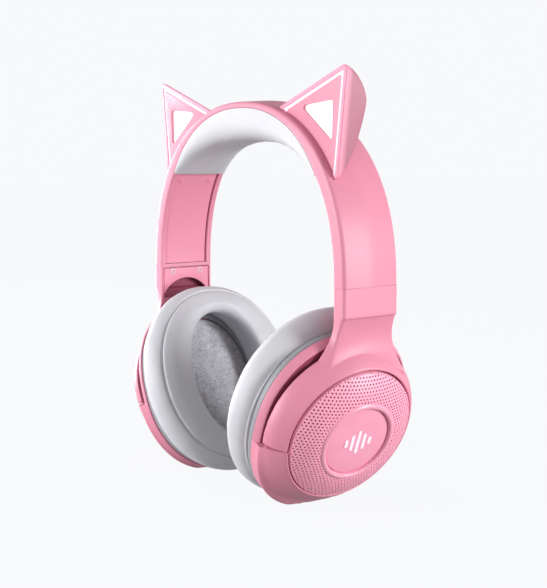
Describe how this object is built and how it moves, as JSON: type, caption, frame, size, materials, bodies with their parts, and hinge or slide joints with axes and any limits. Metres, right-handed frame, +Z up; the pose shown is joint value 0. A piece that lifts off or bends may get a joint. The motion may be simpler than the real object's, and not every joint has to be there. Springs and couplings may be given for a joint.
{
  "type": "gaming headset",
  "caption": "Wireless over-ear headset with a padded headband, lit cat ears, sliding yokes and tilting oval ear cups with round mesh grilles.",
  "frame": {"origin": "on the surface that the cups stand on, below the middle of the headband", "axes": "+X to the wearer's left, -Y to the front (the side the ears face), +Z up"},
  "size_m": [0.1698, 0.096, 0.2129],
  "materials": {
    "pink_shell": "satin moulded pink",
    "pink_inner": "satin moulded pink, a shade deeper",
    "pink_mesh": "fine punched mesh, painted pink",
    "badge_light": "translucent pink disc, lit from behind",
    "white_light": "translucent white diffuser, lit from behind",
    "grey_leather": "soft synthetic leather, light grey",
    "grey_plastic": "satin grey",
    "grey_cloth": "woven mesh cloth, light grey",
    "dark_plastic": "dark moulded plastic",
    "steel": "bright spring steel",
    "circuit": "printed circuit board",
    "battery_wrap": "shrink wrap"
  },
  "bodies": {
    "headband": {"headband_outer_shell": "pink_shell", "headband_spring": "steel", "headband_pad_base": "dark_plastic", "headband_pad": "grey_leather", "cup_link_wire": "dark_plastic", "inner_panel_left": "pink_inner", "inner_panel_right": "pink_inner", "panel_plug_front_left": "pink_inner", "panel_plug_front_right": "pink_inner", "panel_plug_rear_left": "pink_inner", "panel_plug_rear_right": "pink_inner", "slider_track_left": "dark_plastic", "slider_track_right": "dark_plastic", "detent_spring_left": "steel", "detent_spring_right": "steel", "ear_shell_left": "pink_shell", "ear_shell_right": "pink_shell", "ear_panel_left": "pink_shell", "ear_panel_right": "pink_shell", "ear_diffuser_left": "white_light", "ear_diffuser_right": "white_light", "ear_led_board_left": "circuit", "ear_led_board_right": "circuit"},
    "yoke_left": {"slider_plate_left": "steel", "yoke_shell_left": "pink_shell", "yoke_cover_left": "pink_inner", "cover_screw_front_left": "steel", "cover_screw_rear_left": "steel", "pivot_pin_front_left": "steel", "pivot_pin_rear_left": "steel"},
    "yoke_right": {"slider_plate_right": "steel", "yoke_shell_right": "pink_shell", "yoke_cover_right": "pink_inner", "cover_screw_front_right": "steel", "cover_screw_rear_right": "steel", "pivot_pin_front_right": "steel", "pivot_pin_rear_right": "steel"},
    "cup_left": {"cup_housing_left": "pink_shell", "speaker_grille_left": "pink_mesh", "badge_ring_left": "pink_shell", "badge_disc_left": "badge_light", "baffle_left": "dark_plastic", "driver_left": "dark_plastic", "cushion_flange_left": "grey_plastic", "ear_cushion_left": "grey_leather", "acoustic_cloth_left": "grey_cloth", "circuit_board": "circuit", "charge_port": "steel", "microphone": "dark_plastic"},
    "cup_right": {"cup_housing_right": "pink_shell", "speaker_grille_right": "pink_mesh", "badge_ring_right": "pink_shell", "badge_disc_right": "badge_light", "baffle_right": "dark_plastic", "driver_right": "dark_plastic", "cushion_flange_right": "grey_plastic", "ear_cushion_right": "grey_leather", "acoustic_cloth_right": "grey_cloth", "battery": "battery_wrap"},
    "power_button": {"power_button": "pink_inner"}
  },
  "joints": [
    {"name": "yoke_slide_left", "type": "slide", "parent": "headband", "child": "yoke_left", "axis": [0.1253, 0, -0.9921], "range_m": [0, 0.022]},
    {"name": "cup_tilt_left", "type": "hinge", "parent": "yoke_left", "child": "cup_left", "pos_m": [0.06524, -0.00138, 0.04067], "axis": [-0.0645, -0.9979, 0], "range_deg": [-0.5, 9.5]},
    {"name": "yoke_slide_right", "type": "slide", "parent": "headband", "child": "yoke_right", "axis": [-0.1253, 0, -0.9921], "range_m": [0, 0.022]},
    {"name": "cup_tilt_right", "type": "hinge", "parent": "yoke_right", "child": "cup_right", "pos_m": [-0.06524, -0.00138, 0.04067], "axis": [-0.0645, 0.9979, 0], "range_deg": [-0.5, 9.5]},
    {"name": "power_button_press", "type": "slide", "parent": "cup_left", "child": "power_button", "axis": [0.1382, -0.8588, 0.4934], "range_m": [0, 0.0006], "stiffness_N_per_m": 1500, "springref_m": -0.0005}
  ]
}
